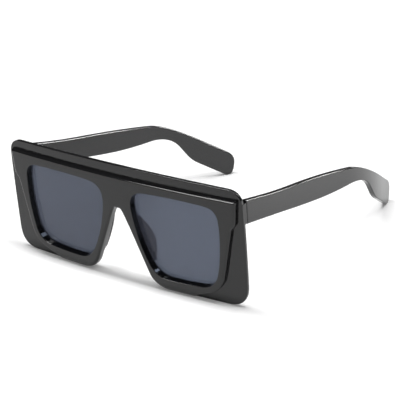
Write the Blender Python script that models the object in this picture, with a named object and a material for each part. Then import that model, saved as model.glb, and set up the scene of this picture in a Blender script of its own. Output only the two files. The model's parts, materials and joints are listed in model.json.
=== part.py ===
"""Square sunglasses: a front with raised plates round two lenses, nose pads, and two arms that fold on metal hinges.

The wearer looks towards -Y and the wearer's left side is +X. The glasses stand on the table at z = 0, on the
bottom of the rims and the tips of the arms. The left arm is fully open and the right arm is a little folded in.
"""

import math

import bmesh
import bpy
import numpy as np
from mathutils import Matrix, Vector

MM = 0.001

# Space left between pieces that touch or slide in the real glasses
GAP = 0.3 * MM
TINY = 0.001 * MM

# The front is drawn flat and then bent about a vertical axis behind it
BEND_RADIUS = 1009.0 * MM
BEND_STRIP = 18.4 * MM
BASE_THICKNESS = 1.9 * MM
PLATE_HEIGHT = 2.5 * MM
EDGE_CHAMFER = 0.5 * MM

# Rounding of the plates' outer edges: beside the nose and up the sides, and along the bottom
NOSE_EDGE_RADIUS = 1.2 * MM
LOW_EDGE_RADIUS = 3.0 * MM
FILLET_STEPS = 3

# Outline of the front, down to the table: half its width, its height, and its corners as shares of these.
# Each corner: across from the middle, up from the top edge, rounding, outward bulge of the next edge.
FRONT_HALF_WIDTH = 73.8 * MM
FRONT_HEIGHT = 64.0 * MM
FRONT_CORNER_SHARES = (
    (0.0, 0.0, 0.0, 0.0008),
    (1.0, -0.0055, 0.1143, 0.0061),
    (1.0, -0.991, 0.147, 0.0),
    (0.27, -1.0, 0.115, 0.0014),
    (0.034, -0.3594, 0.1007, 0.0),
    (0.0, -0.3594, 0.0, 0.0),
)

# Step between the raised plates and the lower band, from the middle of the top round to the bottom edge.
# Its wall leans outward along the top by the slant, and its lower end moves outward by the fade.
STEP_CORNER_SHARES = (
    (0.0, -0.093, 0.0, 0.0),
    (0.9674, -0.0883, 0.0163, 0.0),
    (0.9537, -0.2844, 0.0231, 0.0),
    (0.9211, -0.3297, 0.0122, 0.0),
    (0.8299, -0.8656, 0.1102, 0.0),
    (0.517, -1.009, 0.0, 0.0),
)
STEP_SLANT = 0.95 * MM
STEP_FADE = 3.0 * MM
CUT_OVERRUN = 2.5 * MM

# Lens opening: what the front leaves round it, and its corners as shares of its own width and height
RIM_TOP = 11.3 * MM
RIM_BOTTOM = 7.4 * MM
RIM_SIDE = 13.6 * MM
HALF_BRIDGE = 8.5 * MM
LENS_WIDTH = FRONT_HALF_WIDTH - RIM_SIDE - HALF_BRIDGE
LENS_HEIGHT = FRONT_HEIGHT - RIM_TOP - RIM_BOTTOM
LENS_CORNER_SHARES = (
    (0.0, -0.0164, 0.1727, 0.0225),
    (1.0, 0.0, 0.1228, 0.047),
    (0.9347, -0.9607, 0.1497, 0.0182),
    (0.2553, -1.0, 0.1286, 0.0643),
)

# Lenses, the groove that holds each one, and the opening, which widens towards the back behind the lens
LENS_THICKNESS = 1.1 * MM
LENS_SETBACK = 3.45 * MM
LENS_REACH = 1.0 * MM
LENS_CHAMFER = 0.3 * MM
GROOVE_REACH = LENS_REACH + GAP
OPENING_FLARE = 0.1 * MM
LIP_FLARE = 0.6 * MM
BACK_FLARE = 1.9 * MM
RIM_REACH = 3.0 * MM
RIM_BACK = 3.7 * MM

# Nose pads
PAD_TOP_SHARE = 0.3755
PAD_BOTTOM_SHARE = 0.8886
PAD_FOOT = 3.0 * MM
PAD_EDGE = 0.5 * MM
PAD_TIP = 1.3 * MM
PAD_DEPTH = 4.2 * MM
PAD_SPLAY = 2.4 * MM
PAD_TAPER = 1.8 * MM
PAD_END_SHARE = 0.22
PAD_NOSE_SHARE = 0.72
PAD_FLANK_SHARE = 1.0
PAD_SECTIONS = 9

# Arms: the side view gives points as shares of the length along the arm and of the height of its front end
ARM_THICKNESS = 3.0 * MM
ARM_CHAMFER = 0.5 * MM
ARM_STRIP = 5.2 * MM
ARM_LENGTH = 137.0 * MM
ARM_RISE = 57.8 * MM
ARM_TOP_SHARES = ((0.0, 1.0), (0.1796, 0.9048), (0.3839, 0.8374), (0.5591, 0.7586), (0.6905, 0.6859))
ARM_END_SHARES = ((1.0, 0.1955), (0.98, -0.0398), (0.8015, 0.2422), (0.708, 0.569))
ARM_END_ROUNDING_SHARES = (0.036, 0.05, 0.0336, 0.108)
ARM_BOTTOM_SHARES = ((0.5007, 0.5796), (0.3255, 0.6384), (0.1504, 0.718), (0.0, 0.782))

# Arms from above: straight at first, then bowed outward, then turned in behind the ear
ARM_STRAIGHT = 28.0 * MM
ARM_BOW_LENGTH = 62.0 * MM
ARM_BOW_ANGLE = math.radians(-3.56)
ARM_TURN_START = 76.2 * MM
ARM_TURN_END = 125.6 * MM
ARM_TURN_ANGLE = math.radians(23.8)
ARM_PLAN_STEPS = 640

# Direction of each arm as it stands, turned in from straight back
LEFT_ARM_ANGLE = math.radians(-4.9)
RIGHT_ARM_ANGLE = math.radians(18.3)

# End blocks behind the top outer corners of the front
BLOCK_OVERHANG = 0.1 * MM
BLOCK_OUTER = FRONT_HALF_WIDTH + BLOCK_OVERHANG
BLOCK_WIDTH = 10.4 * MM
BLOCK_BACK = 6.4 * MM
BLOCK_ROOT = 3.3 * MM
BLOCK_CHAMFER = 0.4 * MM
BLOCK_TOP_DROP = 0.9 * MM
BLOCK_BOTTOM_RISE = 0.8 * MM

# Hinges, measured from the outer face and the back face of the end block
PIVOT_INWARD = 4.7 * MM
PIVOT_BACKWARD = 2.2 * MM
ARM_END_TO_PIVOT = 1.45 * MM
BARREL_RADIUS = 1.4 * MM
KNUCKLE_HEIGHT = 2.0 * MM
BORE_RADIUS = 0.9 * MM
LEAF_THICKNESS = 1.0 * MM
LEAF_HEIGHT = 7.2 * MM
POCKET_DEPTH = 0.8 * MM
WEB_HALF_WIDTH = 1.0 * MM
FRONT_LEAF_OUTER = 3.7 * MM
FRONT_LEAF_INNER = 9.2 * MM
ARM_LEAF_LENGTH = 10.0 * MM
ARM_LEAF_HEIGHT = 5.0 * MM
ROUND_STEPS = 24

# Hinge screws and rivets
SCREW_RADIUS = 0.6 * MM
SCREW_HEAD_RADIUS = 1.2 * MM
SCREW_HEAD_HEIGHT = 0.6 * MM
RIVET_RADIUS = 0.5 * MM
RIVET_HOLE_RADIUS = 0.8 * MM
RIVET_HEAD_RADIUS = 0.9 * MM
RIVET_HEAD_HEIGHT = 0.4 * MM
RIVET_HOLE_DEPTH = 1.1 * MM
HEAD_CHAMFER = 0.15 * MM
FRONT_RIVET_INWARD = 7.7 * MM
FRONT_RIVET_SPREAD = 2.1 * MM
ARM_RIVET_FRONT = 6.4 * MM
ARM_RIVET_REAR = 10.8 * MM
SMALL_ROUND_STEPS = 14

CORNER_STEPS = 6
EDGE_STEPS = 4
SMOOTH_ANGLE = math.radians(28.0)
SHARP_METAL_ANGLE = math.radians(35.0)


def sized(shares, width, height):
    """Corners given as shares: across, rounding and bulge follow the width, and up follows the height."""
    return [(across * width, up * height, turn * width, bulge * width) for across, up, turn, bulge in shares]


def rounded(corners, closed):
    """Points of an outline whose corners are rounded by quadratic curves and whose edges may bulge."""
    count = len(corners)
    last = count if closed else count - 1
    edges = []
    for index in range(last):
        start, end = corners[index], corners[(index + 1) % count]
        first, across = np.array(start[:2]), np.array(end[:2]) - np.array(start[:2])
        length = math.hypot(*across)
        trim = [min(start[2] / length, 0.5), 1 - min(end[2] / length, 0.5)]
        bulge = start[3]
        share = np.linspace(trim[0], trim[1], EDGE_STEPS if bulge else 2)[:, None]
        outward = np.array([-across[1], across[0]]) / length
        edges.append(first + share * across + 4 * bulge * share * (1 - share) * outward)
    points = []
    for index, edge in enumerate(edges):
        points.extend(edge)
        if not closed and index == last - 1:
            break
        corner = np.array(corners[(index + 1) % count][:2])
        after = edges[(index + 1) % last][0]
        for share in np.linspace(0, 1, CORNER_STEPS + 1)[1:-1]:
            points.append(edge[-1] * (1 - share) ** 2 + corner * 2 * share * (1 - share) + after * share**2)
    return clean(np.array(points), closed)


def clean(points, closed):
    """Leaves out points that lie on the one before."""
    kept = [points[0]]
    for point in points[1:]:
        if math.hypot(*(point - kept[-1])) > TINY:
            kept.append(point)
    if closed and math.hypot(*(kept[0] - kept[-1])) <= TINY:
        kept.pop()
    return np.array(kept)


def normals_of(points):
    """Outward direction at each point of a clockwise outline, and how much a corner widens a shift along it."""
    before = points - np.roll(points, 1, axis=0)
    after = np.roll(points, -1, axis=0) - points
    first = np.stack([-before[:, 1], before[:, 0]], axis=1) / np.linalg.norm(before, axis=1)[:, None]
    second = np.stack([-after[:, 1], after[:, 0]], axis=1) / np.linalg.norm(after, axis=1)[:, None]
    return (first + second) / (1 + (first * second).sum(axis=1)[:, None])


def grown(points, distance):
    """The clockwise outline moved outward by one distance, or by one for each point (inward if negative)."""
    return points + np.reshape(distance, (-1, 1)) * normals_of(points)


def quarter():
    """Pairs (inset, advance) of a rounded edge of radius 1, from the face to the side."""
    angles = np.linspace(0, math.pi / 2, FILLET_STEPS + 1)
    return [(1 - math.sin(angle), 1 - math.cos(angle)) for angle in angles]


def mirrored(points):
    """The half outline from the middle out, followed by its mirror image back to the middle."""
    other = points[::-1] * [-1, 1]
    return clean(np.concatenate([points, other]), True)


def finish(name, colour, roughness, metallic):
    material = bpy.data.materials.new(name)
    material.use_nodes = True
    shader = material.node_tree.nodes["Principled BSDF"]
    shader.inputs["Base Color"].default_value = (*colour, 1)
    shader.inputs["Roughness"].default_value = roughness
    shader.inputs["Metallic"].default_value = metallic
    return material


def turn_outward(data):
    """Makes all faces of a closed solid point outward."""
    bmesh.ops.recalc_face_normals(data, faces=data.faces)
    if data.calc_volume(signed=True) < 0:
        bmesh.ops.reverse_faces(data, faces=data.faces)


def make(name, mesh_data, material):
    """A scene object from a bmesh of a closed solid."""
    turn_outward(mesh_data)
    mesh = bpy.data.meshes.new(name)
    mesh_data.to_mesh(mesh)
    mesh_data.free()
    obj = bpy.data.objects.new(name, mesh)
    bpy.context.scene.collection.objects.link(obj)
    if material:
        mesh.materials.append(material)
    return obj


def loft(name, loops, material=None):
    """A closed solid through loops of points that all have the same number of points."""
    data = bmesh.new()
    rings = [[data.verts.new(point) for point in loop] for loop in loops]
    for lower, upper in zip(rings, rings[1:]):
        for index in range(len(lower)):
            after = (index + 1) % len(lower)
            data.faces.new([lower[index], lower[after], upper[after], upper[index]])
    data.faces.new(rings[0][::-1])
    data.faces.new(rings[-1])
    return make(name, data, material)


def upright(outline, depth, height):
    """Loop of a front outline at a depth, or one depth for each point, behind the front face of the band."""
    depths = np.broadcast_to(depth, len(outline))
    return [(point[0], deep, point[1] + height) for point, deep in zip(outline, depths)]


def box(name, low, high, material=None):
    corners = [(low[0], low[1]), (high[0], low[1]), (high[0], high[1]), (low[0], high[1])]
    return loft(name, [[(x, y, z) for x, y in corners] for z in (low[2], high[2])], material)


def lathe(name, profile, origin, axis, steps, material=None):
    """A round solid: the profile gives (distance along the axis, radius) pairs from one end to the other."""
    turn = Vector(axis).to_track_quat("Z", "Y")
    loops = []
    for along, radius in profile:
        angles = [2 * math.pi * step / steps for step in range(steps)]
        ring = [Vector((radius * math.cos(angle), radius * math.sin(angle), along)) for angle in angles]
        loops.append([Vector(origin) + turn @ point for point in ring])
    return loft(name, loops, material)


def combine(target, tool, operation):
    """Joins the tool to the target or cuts it away, and removes the tool."""
    modifier = target.modifiers.new("combine", "BOOLEAN")
    modifier.solver = "EXACT"
    modifier.operation = operation
    modifier.object = tool
    graph = bpy.context.evaluated_depsgraph_get()
    result = bpy.data.meshes.new_from_object(target.evaluated_get(graph))
    target.modifiers.clear()
    old = target.data
    target.data = result
    result.name = target.name
    bpy.data.meshes.remove(old)
    tool_mesh = tool.data
    bpy.data.objects.remove(tool)
    bpy.data.meshes.remove(tool_mesh)


def reshape(obj, strip_axis, strip, place):
    """Cuts the faces into strips along an axis, then moves every point by the place function."""
    data = bmesh.new()
    data.from_mesh(obj.data)
    along = [vertex.co[strip_axis] for vertex in data.verts]
    normal = [0, 0, 0]
    normal[strip_axis] = 1
    for index in range(math.floor(min(along) / strip), math.ceil(max(along) / strip) + 1):
        middle = [0, 0, 0]
        middle[strip_axis] = index * strip
        geometry = data.verts[:] + data.edges[:] + data.faces[:]
        bmesh.ops.bisect_plane(data, geom=geometry, dist=TINY, plane_co=middle, plane_no=normal)
    bmesh.ops.remove_doubles(data, verts=data.verts, dist=TINY)
    bmesh.ops.triangulate(data, faces=data.faces, ngon_method="BEAUTY")
    for vertex in data.verts:
        vertex.co = place(vertex.co)
    turn_outward(data)
    data.to_mesh(obj.data)
    data.free()


def smooth(obj, angle):
    obj.data.shade_smooth()
    obj.data.set_sharp_from_angle(angle=angle)


def bent(point):
    """Where a point of the flat front lies once the front is bent."""
    angle = point[0] / BEND_RADIUS
    reach = BEND_RADIUS - point[1]
    return Vector((reach * math.sin(angle), BEND_RADIUS - reach * math.cos(angle), point[2]))


def clear_scene():
    for obj in list(bpy.data.objects):
        bpy.data.objects.remove(obj)


def lens_outline(side):
    corners = sized(LENS_CORNER_SHARES, LENS_WIDTH, LENS_HEIGHT)
    points = rounded(corners, True) + [HALF_BRIDGE, -RIM_TOP]
    return points if side > 0 else points[::-1] * [-1, 1]


def front_outline():
    corners = sized(FRONT_CORNER_SHARES, FRONT_HALF_WIDTH, FRONT_HEIGHT)
    return mirrored(rounded(corners, False))


def step_outline(share):
    """The step line and a border outside the band; share is 0 at the plates' face and 1 at the step's foot."""
    corners = sized(STEP_CORNER_SHARES, FRONT_HALF_WIDTH, FRONT_HEIGHT)
    top = [(across, up + STEP_SLANT * share, turn, bulge) for across, up, turn, bulge in corners[:2]]
    end = (corners[-1][0] + STEP_FADE * share, *corners[-1][1:])
    line = rounded(top + corners[2:-1] + [end], False)
    far = FRONT_HALF_WIDTH + CUT_OVERRUN
    low = line[-1][1] - CUT_OVERRUN
    border = [(line[-1][0], low), (far, low), (far, CUT_OVERRUN), (0, CUT_OVERRUN)]
    return mirrored(np.concatenate([line, border]))


def edge_radii(outline):
    """Rounding at each point of the plates' outer edge: heavier along the bottom than beside the nose."""
    down = np.clip(-normals_of(outline)[:, 1], 0, 1) ** 2
    low = outline[:, 1] < -FRONT_HEIGHT / 2
    return NOSE_EDGE_RADIUS + (LOW_EDGE_RADIUS - NOSE_EDGE_RADIUS) * np.where(low, down, 0)


def build_front(top, material):
    """The front: drawn flat, cut, bent, and then given its end blocks."""
    outline = front_outline()
    radii = edge_radii(outline)
    loops = []
    for inset, advance in quarter():
        loops.append(upright(grown(outline, -radii * inset), radii * advance - PLATE_HEIGHT, top))
    loops.append(upright(outline, BASE_THICKNESS - EDGE_CHAMFER, top))
    loops.append(upright(grown(outline, -EDGE_CHAMFER), BASE_THICKNESS, top))
    front = loft("front_frame", loops, material)
    above = PLATE_HEIGHT + CUT_OVERRUN
    walls = ((0, 1), (-above, -CUT_OVERRUN / PLATE_HEIGHT))
    loops = [upright(step_outline(share), depth, top) for depth, share in walls]
    combine(front, loft("band_cutter", loops), "DIFFERENCE")
    lens_front = LENS_SETBACK - PLATE_HEIGHT
    for side in (1, -1):
        edge = lens_outline(side)
        rim = grown(edge, RIM_REACH)
        rim_loops = [upright(rim, BASE_THICKNESS - EDGE_CHAMFER, top)]
        rim_loops.append(upright(rim, RIM_BACK - EDGE_CHAMFER, top))
        rim_loops.append(upright(grown(rim, -EDGE_CHAMFER), RIM_BACK, top))
        combine(front, loft("rim", rim_loops), "UNION")
        groove = grown(edge, GROOVE_REACH)
        groove_front = lens_front - GAP
        groove_back = lens_front + LENS_THICKNESS + GAP
        beyond = RIM_BACK + EDGE_CHAMFER
        opening = [upright(grown(edge, OPENING_FLARE), -above, top), upright(edge, groove_front, top)]
        opening += [upright(groove, groove_front, top), upright(groove, groove_back, top)]
        opening.append(upright(grown(edge, LIP_FLARE), groove_back, top))
        opening += [upright(grown(edge, BACK_FLARE), depth, top) for depth in (RIM_BACK, beyond)]
        combine(front, loft("opening", opening), "DIFFERENCE")
    reshape(front, 0, BEND_STRIP, bent)
    return front


def arm_front_heights():
    """Bottom and top of the arm's front end in its own side view."""
    return ARM_BOTTOM_SHARES[-1][1] * ARM_RISE, ARM_TOP_SHARES[0][1] * ARM_RISE


def add_end_block(front, side, drop, hinge_height):
    """The block behind the corner of the front, with the pocket and the rivet holes of its hinge."""
    low, high = (height - drop for height in arm_front_heights())
    low += BLOCK_BOTTOM_RISE
    high -= BLOCK_TOP_DROP
    outer = BLOCK_OUTER
    inner = BLOCK_OUTER - BLOCK_WIDTH
    loops = []
    for depth, inset in ((BLOCK_ROOT, 0), (BLOCK_BACK - BLOCK_CHAMFER, 0), (BLOCK_BACK, BLOCK_CHAMFER)):
        near, far = inner + inset, outer - inset
        bottom, upper = low + inset, high - inset
        loops.append([(side * x, depth, z) for x, z in ((near, bottom), (far, bottom), (far, upper), (near, upper))])
    combine(front, loft("block", loops), "UNION")
    half = LEAF_HEIGHT / 2 + GAP
    across = sorted((side * (outer - FRONT_LEAF_OUTER + GAP), side * (outer - FRONT_LEAF_INNER - GAP)))
    back = BLOCK_BACK + BLOCK_CHAMFER
    pocket_low = (across[0], BLOCK_BACK - POCKET_DEPTH, hinge_height - half)
    combine(front, box("pocket", pocket_low, (across[1], back, hinge_height + half)), "DIFFERENCE")
    floor = BLOCK_BACK - POCKET_DEPTH
    for height in (hinge_height + FRONT_RIVET_SPREAD, hinge_height - FRONT_RIVET_SPREAD):
        profile = [(floor - RIVET_HOLE_DEPTH, RIVET_HOLE_RADIUS), (back, RIVET_HOLE_RADIUS)]
        spot = (side * (outer - FRONT_RIVET_INWARD), 0, height)
        combine(front, lathe("hole", profile, spot, (0, 1, 0), SMALL_ROUND_STEPS), "DIFFERENCE")


def build_lens(name, side, top, material):
    edge = grown(lens_outline(side), LENS_REACH)
    narrow = grown(edge, -LENS_CHAMFER)
    face = LENS_SETBACK - PLATE_HEIGHT
    back = face + LENS_THICKNESS
    loops = [
        upright(narrow, face, top),
        upright(edge, face + LENS_CHAMFER, top),
        upright(edge, back - LENS_CHAMFER, top),
        upright(narrow, back, top),
    ]
    lens = loft(name, loops, material)
    reshape(lens, 0, BEND_STRIP, bent)
    smooth(lens, SMOOTH_ANGLE)


def nasal_edge(outline, up):
    """How far from the middle the nose side of the lens opening lies at a height."""
    following = np.roll(outline, -1, axis=0)
    found = []
    for (x0, z0), (x1, z1) in zip(outline, following):
        if min(z0, z1) <= up < max(z0, z1):
            found.append(x0 + (x1 - x0) * (up - z0) / (z1 - z0))
    return min(found)


def build_pad(name, side, top, material):
    """A bonded nose pad: a ridge behind the nose side of the rim that leans outward towards the eye."""
    outline = lens_outline(1)
    foot = RIM_BACK + GAP
    loops = []
    for index in range(PAD_SECTIONS):
        share = index / (PAD_SECTIONS - 1)
        up = -RIM_TOP - LENS_HEIGHT * (PAD_TOP_SHARE + (PAD_BOTTOM_SHARE - PAD_TOP_SHARE) * share)
        swell = PAD_END_SHARE + (1 - PAD_END_SHARE) * math.sin(math.pi * share) ** PAD_FLANK_SHARE
        foot_edge = nasal_edge(outline, up) - PAD_EDGE
        nose, eye = foot_edge - PAD_FOOT, foot_edge - PAD_TAPER * (1 - swell)
        depth, lean = PAD_DEPTH * swell, PAD_SPLAY * swell
        section = [(nose, foot), (eye, foot), (eye + lean, foot + depth * PAD_NOSE_SHARE)]
        section.append((eye + lean - PAD_TIP * (1 - PAD_NOSE_SHARE), foot + depth))
        section.append((eye + lean - PAD_TIP, foot + depth))
        section.append((nose + lean * PAD_NOSE_SHARE, foot + depth * PAD_NOSE_SHARE))
        loops.append([(side * x, y, up + top) for x, y in section])
    pad = loft(name, loops, material)
    reshape(pad, 0, BEND_STRIP, bent)
    smooth(pad, SMOOTH_ANGLE)


def arm_outline():
    """Side view of the arm: its long edges are one smooth curve each, and its end has four rounded corners."""
    corners = [(*point, 1, 0) for point in ARM_TOP_SHARES]
    corners += [(*point, turn, 0) for point, turn in zip(ARM_END_SHARES, ARM_END_ROUNDING_SHARES)]
    corners += [(*point, 1, 0) for point in ARM_BOTTOM_SHARES]
    first, last = corners[0], corners[-1]
    corners[0], corners[-1] = (*first[:2], 0, 0), (*last[:2], 0, 0)
    return rounded(sized(corners, ARM_LENGTH, ARM_RISE), False)


def arm_plan():
    """Distances along the arm, and the place and direction of its outer face at each."""
    along = np.linspace(0, ARM_LENGTH, ARM_PLAN_STEPS)
    ramp = np.clip((along - ARM_TURN_START) / (ARM_TURN_END - ARM_TURN_START), 0, 1)
    bow = np.clip(along - ARM_STRAIGHT, 0, None) / ARM_BOW_LENGTH
    heading = ARM_BOW_ANGLE * bow + ARM_TURN_ANGLE * ramp**2 * (3 - 2 * ramp)
    step = along[1] - along[0]
    inward = np.concatenate([[0], np.cumsum(np.sin(heading[1:]) + np.sin(heading[:-1])) / 2 * step])
    backward = np.concatenate([[0], np.cumsum(np.cos(heading[1:]) + np.cos(heading[:-1])) / 2 * step])
    return along, inward, backward, heading


def arm_placer(side, plan):
    """Moves a point of the straight arm (inward, along, up) to its place beside the pivot."""
    along, inward, backward, heading = plan
    shift_in = PIVOT_INWARD
    shift_back = ARM_END_TO_PIVOT

    def place(point):
        turn = np.interp(point[1], along, heading)
        across = np.interp(point[1], along, inward) + point[0] * math.cos(turn)
        back = np.interp(point[1], along, backward) - point[0] * math.sin(turn)
        return Vector((side * (shift_in - across), back - shift_back, point[2]))

    return place


def build_arm(side, word, drop, hinge_height, plan, materials):
    """One arm with its hinge leaf and rivets, drawn round the pivot and pointing straight back."""
    plastic, metal, rivet_metal = materials
    outline = arm_outline() - [0, drop]
    inner = grown(outline, -ARM_CHAMFER)
    levels = ((0, inner), (ARM_CHAMFER, outline), (ARM_THICKNESS - ARM_CHAMFER, outline), (ARM_THICKNESS, inner))
    arm = loft("temple_" + word, [[(level, s, z) for s, z in loop] for level, loop in levels], plastic)
    leaf_start = ARM_END_TO_PIVOT + BARREL_RADIUS + GAP
    leaf_end = leaf_start + ARM_LEAF_LENGTH
    half = ARM_LEAF_HEIGHT / 2
    floor = ARM_THICKNESS - POCKET_DEPTH
    pocket_low = (floor, leaf_start - GAP, hinge_height - half - GAP)
    pocket_high = (ARM_THICKNESS + ARM_CHAMFER, leaf_end + GAP, hinge_height + half + GAP)
    combine(arm, box("pocket", pocket_low, pocket_high), "DIFFERENCE")
    tongue = KNUCKLE_HEIGHT / 2
    notch_low = (floor, -ARM_CHAMFER, hinge_height - tongue - GAP)
    notch_high = (ARM_THICKNESS + ARM_CHAMFER, leaf_start, hinge_height + tongue + GAP)
    combine(arm, box("notch", notch_low, notch_high), "DIFFERENCE")
    for along in (ARM_RIVET_FRONT, ARM_RIVET_REAR):
        profile = [(floor - RIVET_HOLE_DEPTH, RIVET_HOLE_RADIUS), (floor + ARM_THICKNESS, RIVET_HOLE_RADIUS)]
        spot = (0, along, hinge_height)
        combine(arm, lathe("hole", profile, spot, (1, 0, 0), SMALL_ROUND_STEPS), "DIFFERENCE")
    place = arm_placer(side, plan)
    reshape(arm, 1, ARM_STRIP, place)

    leaf_low = (floor + GAP, leaf_start, hinge_height - half)
    leaf_high = (floor + GAP + LEAF_THICKNESS, leaf_end, hinge_height + half)
    leaf = box("temple_hinge_" + word, leaf_low, leaf_high, metal)
    tongue_low = (floor + GAP, ARM_END_TO_PIVOT, hinge_height - tongue)
    tongue_high = (PIVOT_INWARD, leaf_start + LEAF_THICKNESS, hinge_height + tongue)
    reach = (tongue_high[0], ARM_END_TO_PIVOT + WEB_HALF_WIDTH, tongue_high[2])
    combine(leaf, box("tongue", tongue_low, (leaf_high[0], tongue_high[1], tongue_high[2])), "UNION")
    combine(leaf, box("neck", tongue_low, reach), "UNION")
    spot = (PIVOT_INWARD, ARM_END_TO_PIVOT, hinge_height)
    barrel = [(-tongue, BARREL_RADIUS), (tongue, BARREL_RADIUS)]
    combine(leaf, lathe("barrel", barrel, spot, (0, 0, 1), ROUND_STEPS), "UNION")
    bore = [(-KNUCKLE_HEIGHT, BORE_RADIUS), (KNUCKLE_HEIGHT, BORE_RADIUS)]
    combine(leaf, lathe("bore", bore, spot, (0, 0, 1), ROUND_STEPS), "DIFFERENCE")
    pieces = [arm, leaf]
    for along, row in ((ARM_RIVET_FRONT, "front"), (ARM_RIVET_REAR, "rear")):
        spot = (leaf_high[0], along, hinge_height)
        profile = [(-ARM_THICKNESS, RIVET_HOLE_RADIUS), (ARM_THICKNESS, RIVET_HOLE_RADIUS)]
        combine(leaf, lathe("hole", profile, spot, (1, 0, 0), SMALL_ROUND_STEPS), "DIFFERENCE")
        name = "temple_hinge_rivet_" + word + "_" + row
        pieces.append(rivet(name, spot, (1, 0, 0), LEAF_THICKNESS + RIVET_HOLE_DEPTH, rivet_metal))
    for piece in pieces[1:]:
        reshape(piece, 1, ARM_LENGTH, place)
    smooth(arm, SMOOTH_ANGLE)
    for piece in pieces[1:]:
        smooth(piece, SHARP_METAL_ANGLE)
    return pieces


def rivet(name, spot, axis, depth, metal):
    """A rivet whose head lies just above the spot on the leaf and whose shank goes down by the depth."""
    profile = [
        (-depth, RIVET_RADIUS),
        (GAP, RIVET_RADIUS),
        (GAP, RIVET_HEAD_RADIUS),
        (GAP + RIVET_HEAD_HEIGHT - HEAD_CHAMFER, RIVET_HEAD_RADIUS),
        (GAP + RIVET_HEAD_HEIGHT, RIVET_HEAD_RADIUS - HEAD_CHAMFER),
    ]
    return lathe(name, profile, spot, axis, SMALL_ROUND_STEPS, metal)


def build_front_hinge(side, word, pivot, metal, rivet_metal):
    """The leaf on the end block with its two knuckles, its rivets and the hinge screw."""
    outer = BLOCK_OUTER
    face = BLOCK_BACK - POCKET_DEPTH + GAP
    half = LEAF_HEIGHT / 2
    across = sorted((side * (outer - FRONT_LEAF_OUTER), side * (outer - FRONT_LEAF_INNER)))
    leaf_back = face + LEAF_THICKNESS
    low, high = (across[0], face, pivot[2] - half), (across[1], leaf_back, pivot[2] + half)
    leaf = box("front_hinge_" + word, low, high, metal)
    inner_end = KNUCKLE_HEIGHT / 2 + GAP
    outer_end = inner_end + KNUCKLE_HEIGHT
    for ends in ((inner_end, outer_end), (-outer_end, -inner_end)):
        web = sorted((pivot[0] - WEB_HALF_WIDTH, pivot[0] + WEB_HALF_WIDTH))
        web_low = (web[0], face, pivot[2] + ends[0])
        combine(leaf, box("web", web_low, (web[1], pivot[1], pivot[2] + ends[1])), "UNION")
        barrel = [(end, BARREL_RADIUS) for end in ends]
        combine(leaf, lathe("barrel", barrel, pivot, (0, 0, 1), ROUND_STEPS), "UNION")
    bore = [(-LEAF_HEIGHT, BORE_RADIUS), (LEAF_HEIGHT, BORE_RADIUS)]
    combine(leaf, lathe("bore", bore, pivot, (0, 0, 1), ROUND_STEPS), "DIFFERENCE")
    depth = LEAF_THICKNESS + RIVET_HOLE_DEPTH
    for row, shift in (("upper", FRONT_RIVET_SPREAD), ("lower", -FRONT_RIVET_SPREAD)):
        spot = (side * (outer - FRONT_RIVET_INWARD), leaf_back, pivot[2] + shift)
        profile = [(-BLOCK_BACK, RIVET_HOLE_RADIUS), (BLOCK_BACK, RIVET_HOLE_RADIUS)]
        combine(leaf, lathe("hole", profile, spot, (0, 1, 0), SMALL_ROUND_STEPS), "DIFFERENCE")
        head = rivet("front_hinge_rivet_" + word + "_" + row, spot, (0, 1, 0), depth, rivet_metal)
        smooth(head, SHARP_METAL_ANGLE)
    smooth(leaf, SHARP_METAL_ANGLE)
    shank = LEAF_HEIGHT / 2
    profile = [
        (-shank, SCREW_RADIUS),
        (shank + GAP, SCREW_RADIUS),
        (shank + GAP, SCREW_HEAD_RADIUS),
        (shank + GAP + SCREW_HEAD_HEIGHT - HEAD_CHAMFER, SCREW_HEAD_RADIUS),
        (shank + GAP + SCREW_HEAD_HEIGHT, SCREW_HEAD_RADIUS - HEAD_CHAMFER),
    ]
    screw = lathe("hinge_screw_" + word, profile, pivot, (0, 0, 1), ROUND_STEPS, rivet_metal)
    smooth(screw, SHARP_METAL_ANGLE)


def centre_on_origin():
    """Moves everything so that the origin is at the middle of the glasses, seen from above."""
    bpy.context.view_layer.update()
    points = []
    for obj in bpy.data.objects:
        if obj.type == "MESH":
            points.extend(obj.matrix_world @ vertex.co for vertex in obj.data.vertices)
    middle = [(min(p[axis] for p in points) + max(p[axis] for p in points)) / 2 for axis in (0, 1)]
    for obj in bpy.data.objects:
        if obj.parent is None:
            obj.location -= Vector((*middle, 0))


def main():
    clear_scene()
    plastic = finish("black_plastic", (0.012, 0.012, 0.014), 0.22, 0)
    arm_plastic = finish("black_arm_plastic", (0.014, 0.014, 0.016), 0.25, 0)
    pad_plastic = finish("black_pad_plastic", (0.02, 0.02, 0.022), 0.35, 0)
    smoke = finish("smoke_grey_lens", (0.05, 0.06, 0.07), 0.05, 0)
    steel = finish("hinge_metal", (0.55, 0.55, 0.57), 0.3, 1)
    bright = finish("screw_metal", (0.65, 0.65, 0.66), 0.25, 1)

    top = -min(up for _, up in front_outline())
    drop = min(up for _, up in arm_outline())
    hinge_height = sum(arm_front_heights()) / 2 - drop
    front = build_front(top, plastic)
    plan = arm_plan()
    for side, word, angle in ((1, "left", LEFT_ARM_ANGLE), (-1, "right", RIGHT_ARM_ANGLE)):
        add_end_block(front, side, drop, hinge_height)
        build_lens("lens_" + word, side, top, smoke)
        build_pad("nose_pad_" + word, side, top, pad_plastic)
        pivot = (side * (BLOCK_OUTER - PIVOT_INWARD), BLOCK_BACK + PIVOT_BACKWARD, hinge_height)
        build_front_hinge(side, word, pivot, steel, bright)
        pieces = build_arm(side, word, drop, hinge_height, plan, (arm_plastic, steel, bright))
        axis = bpy.data.objects.new("arm_axis_" + word, None)
        bpy.context.scene.collection.objects.link(axis)
        axis.matrix_world = Matrix.Translation((pivot[0], pivot[1], 0)) @ Matrix.Rotation(side * angle, 4, "Z")
        for piece in pieces:
            piece.parent = axis
    smooth(front, SMOOTH_ANGLE)
    centre_on_origin()


main()
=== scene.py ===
import json
import math

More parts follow.
